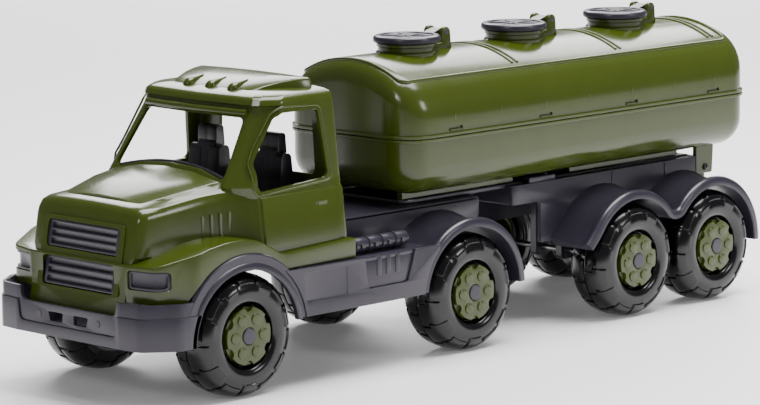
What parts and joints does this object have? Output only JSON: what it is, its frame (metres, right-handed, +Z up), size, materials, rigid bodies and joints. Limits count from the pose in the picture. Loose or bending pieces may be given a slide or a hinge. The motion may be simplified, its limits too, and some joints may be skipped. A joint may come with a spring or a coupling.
{
  "type": "toy articulated tanker lorry",
  "caption": "Toy bonneted tractor unit with a swivelling tank semi-trailer, free-rolling wheels and hinged filler lids.",
  "frame": {"origin": "on the floor under the middle of the bounding box", "axes": "+Y from the front bumper towards the back of the tank, +X towards the lorry's left side, +Z up"},
  "size_m": [0.163, 0.5926, 0.2052],
  "materials": {
    "green_plastic": "glossy injection-moulded plastic, olive green",
    "grey_plastic": "satin injection-moulded plastic, warm grey",
    "black_plastic": "glossy black plastic tyre",
    "steel": "bright drawn steel wire"
  },
  "bodies": {
    "tractor": {"cab_shell": "green_plastic", "grille_upper": "grey_plastic", "grille_lower": "grey_plastic", "headlight_left": "grey_plastic", "headlight_right": "grey_plastic", "cab_interior": "grey_plastic", "tractor_chassis": "grey_plastic", "toolbox_left": "grey_plastic", "toolbox_right": "grey_plastic", "front_axle": "steel", "drive_axle": "steel"},
    "trailer": {"trailer_chassis": "grey_plastic", "bogie_axle": "steel", "rear_axle": "steel", "tank_lower": "green_plastic", "tank_upper": "green_plastic", "bracket_screws": "steel", "hinge_pins": "grey_plastic"},
    "lid_1": {"lid_1": "grey_plastic"},
    "lid_2": {"lid_2": "grey_plastic"},
    "lid_3": {"lid_3": "grey_plastic"},
    "front_left_wheel": {"front_left_tyre": "black_plastic", "front_left_hub": "green_plastic", "front_left_cap": "grey_plastic"},
    "front_right_wheel": {"front_right_tyre": "black_plastic", "front_right_hub": "green_plastic", "front_right_cap": "grey_plastic"},
    "drive_left_wheel": {"drive_left_tyre": "black_plastic", "drive_left_hub": "green_plastic", "drive_left_cap": "grey_plastic"},
    "drive_right_wheel": {"drive_right_tyre": "black_plastic", "drive_right_hub": "green_plastic", "drive_right_cap": "grey_plastic"},
    "bogie_left_wheel": {"bogie_left_tyre": "black_plastic", "bogie_left_hub": "green_plastic", "bogie_left_cap": "grey_plastic"},
    "bogie_right_wheel": {"bogie_right_tyre": "black_plastic", "bogie_right_hub": "green_plastic", "bogie_right_cap": "grey_plastic"},
    "rear_left_wheel": {"rear_left_tyre": "black_plastic", "rear_left_hub": "green_plastic", "rear_left_cap": "grey_plastic"},
    "rear_right_wheel": {"rear_right_tyre": "black_plastic", "rear_right_hub": "green_plastic", "rear_right_cap": "grey_plastic"}
  },
  "joints": [
    {"name": "trailer_swivel", "type": "hinge", "parent": "tractor", "child": "trailer", "pos_m": [0, -0.0153, 0.092], "axis": [0, 0, 1], "range_deg": [-45, 45]},
    {"name": "front_left_roll", "type": "hinge", "parent": "tractor", "child": "front_left_wheel", "pos_m": [0.068, -0.2173, 0.039], "axis": [1, 0, 0], "continuous": true},
    {"name": "front_right_roll", "type": "hinge", "parent": "tractor", "child": "front_right_wheel", "pos_m": [-0.068, -0.2173, 0.039], "axis": [1, 0, 0], "continuous": true},
    {"name": "drive_left_roll", "type": "hinge", "parent": "tractor", "child": "drive_left_wheel", "pos_m": [0.068, -0.0153, 0.039], "axis": [1, 0, 0], "continuous": true},
    {"name": "drive_right_roll", "type": "hinge", "parent": "tractor", "child": "drive_right_wheel", "pos_m": [-0.068, -0.0153, 0.039], "axis": [1, 0, 0], "continuous": true},
    {"name": "bogie_left_roll", "type": "hinge", "parent": "trailer", "child": "bogie_left_wheel", "pos_m": [0.068, 0.1477, 0.039], "axis": [1, 0, 0], "continuous": true},
    {"name": "bogie_right_roll", "type": "hinge", "parent": "trailer", "child": "bogie_right_wheel", "pos_m": [-0.068, 0.1477, 0.039], "axis": [1, 0, 0], "continuous": true},
    {"name": "rear_left_roll", "type": "hinge", "parent": "trailer", "child": "rear_left_wheel", "pos_m": [0.068, 0.2312, 0.039], "axis": [1, 0, 0], "continuous": true},
    {"name": "rear_right_roll", "type": "hinge", "parent": "trailer", "child": "rear_right_wheel", "pos_m": [-0.068, 0.2312, 0.039], "axis": [1, 0, 0], "continuous": true},
    {"name": "lid_1_hinge", "type": "hinge", "parent": "trailer", "child": "lid_1", "pos_m": [0, 0.0327, 0.2012], "axis": [-1, 0, 0], "range_deg": [0, 110]},
    {"name": "lid_2_hinge", "type": "hinge", "parent": "trailer", "child": "lid_2", "pos_m": [0, 0.1377, 0.2012], "axis": [-1, 0, 0], "range_deg": [0, 110]},
    {"name": "lid_3_hinge", "type": "hinge", "parent": "trailer", "child": "lid_3", "pos_m": [0, 0.2427, 0.2012], "axis": [-1, 0, 0], "range_deg": [0, 110]}
  ]
}
